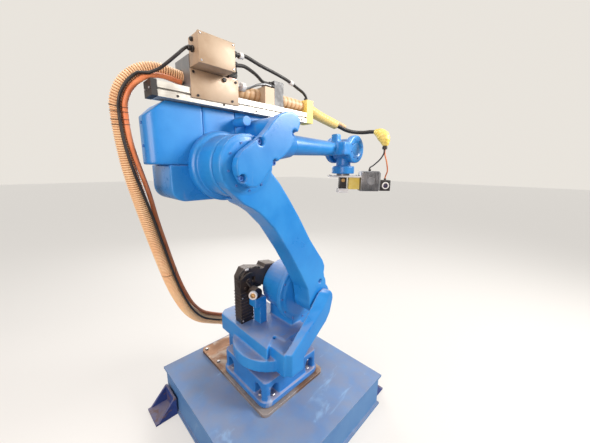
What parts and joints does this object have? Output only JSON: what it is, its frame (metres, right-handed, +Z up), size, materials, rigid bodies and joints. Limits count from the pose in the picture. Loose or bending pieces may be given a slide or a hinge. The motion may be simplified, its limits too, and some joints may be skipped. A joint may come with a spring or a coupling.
{
  "type": "industrial robot arm",
  "caption": "Articulated industrial robot arm on a bolted steel plinth, with a hose rail along its upper arm and a small tool under its wrist.",
  "frame": {"origin": "on the floor, at the plinth's underside, under the turret's axis", "axes": "+X the way the forearm points at rest, +Z up, -Y towards the side with the lower arm"},
  "size_m": [1.7318, 1.08, 2.0786],
  "materials": {
    "robot_paint": "satin",
    "plinth_paint": "satin, worn",
    "anchor_paint": "satin",
    "bare_steel": "rusty",
    "aluminium": "anodised",
    "black_plastic": "matte",
    "sand_sheet": "satin",
    "yellow_tape": "taped",
    "orange_hose": "corrugated",
    "grey_metal": "cast",
    "white_paint": "satin"
  },
  "bodies": {
    "base": {"plinth_floor_plate": "plinth_paint", "plinth_frame": "plinth_paint", "plinth_top_plate": "plinth_paint", "anchor_left_front": "anchor_paint", "anchor_left_rear": "anchor_paint", "anchor_right_front": "anchor_paint", "anchor_right_rear": "anchor_paint", "sole_plate": "bare_steel", "base_casting": "robot_paint", "connector_box": "robot_paint"},
    "turret": {"turret": "robot_paint", "shoulder_motor": "black_plastic", "turret_motor": "black_plastic", "motor_bracket": "robot_paint", "motor_connector": "white_paint"},
    "lower_arm": {"lower_arm": "robot_paint", "corrugated_hose": "orange_hose", "orange_cable": "orange_hose", "signal_cable": "black_plastic"},
    "upper_arm": {"link_plate": "robot_paint", "elbow_drum": "robot_paint", "rear_casing": "robot_paint", "middle_casing": "robot_paint", "elbow_motor_cover": "robot_paint", "casing_gland": "robot_paint", "forearm_head": "robot_paint", "forearm_nose": "robot_paint", "hose_rail": "aluminium", "rail_end_cap": "black_plastic", "rail_hose_guide": "yellow_tape", "carriage_plate": "sand_sheet", "carriage_block": "grey_metal", "control_box": "sand_sheet", "valve_block": "black_plastic", "pressure_gauge": "aluminium", "hose_clamp": "aluminium", "air_manifold": "grey_metal", "taped_hose": "yellow_tape", "air_hose_upper": "black_plastic", "air_hose_lower": "black_plastic", "gauge_hose": "grey_metal"},
    "forearm": {"forearm_tube": "robot_paint", "wrist_hose": "black_plastic"},
    "wrist": {"wrist_body": "robot_paint"},
    "tool": {"tool_flange": "grey_metal", "tool_plate": "white_paint", "tool_block": "black_plastic", "tool_foot": "white_paint", "tool_sensor_box": "yellow_tape", "tool_motor": "grey_metal", "tool_camera": "black_plastic", "tool_cable": "orange_hose", "motor_cable": "black_plastic"}
  },
  "joints": [
    {"name": "turret_turn", "type": "hinge", "parent": "base", "child": "turret", "pos_m": [0, 0, 0.43], "axis": [0, 0, 1], "range_deg": [-180, 180], "deforming": ["corrugated_hose", "orange_cable", "signal_cable"]},
    {"name": "shoulder_lean", "type": "hinge", "parent": "turret", "child": "lower_arm", "pos_m": [0.19, 0, 0.79], "axis": [0, 1, 0], "range_deg": [-15, 45], "deforming": ["corrugated_hose", "orange_cable", "signal_cable"]},
    {"name": "elbow_lift", "type": "hinge", "parent": "lower_arm", "child": "upper_arm", "pos_m": [-0.31, 0, 1.58], "axis": [0, 1, 0], "range_deg": [-60, 20], "deforming": ["corrugated_hose", "orange_cable", "signal_cable"]},
    {"name": "forearm_roll", "type": "hinge", "parent": "upper_arm", "child": "forearm", "pos_m": [0.3, 0, 1.71], "axis": [1, 0, 0], "range_deg": [-90, 90], "deforming": ["wrist_hose"]},
    {"name": "wrist_bend", "type": "hinge", "parent": "forearm", "child": "wrist", "pos_m": [0.73, 0, 1.71], "axis": [0, -1, 0], "range_deg": [-30, 95], "deforming": ["wrist_hose"]},
    {"name": "tool_turn", "type": "hinge", "parent": "wrist", "child": "tool", "pos_m": [0.73, 0, 1.52], "axis": [0, 0, -1], "range_deg": [-90, 90], "deforming": ["wrist_hose"]}
  ]
}
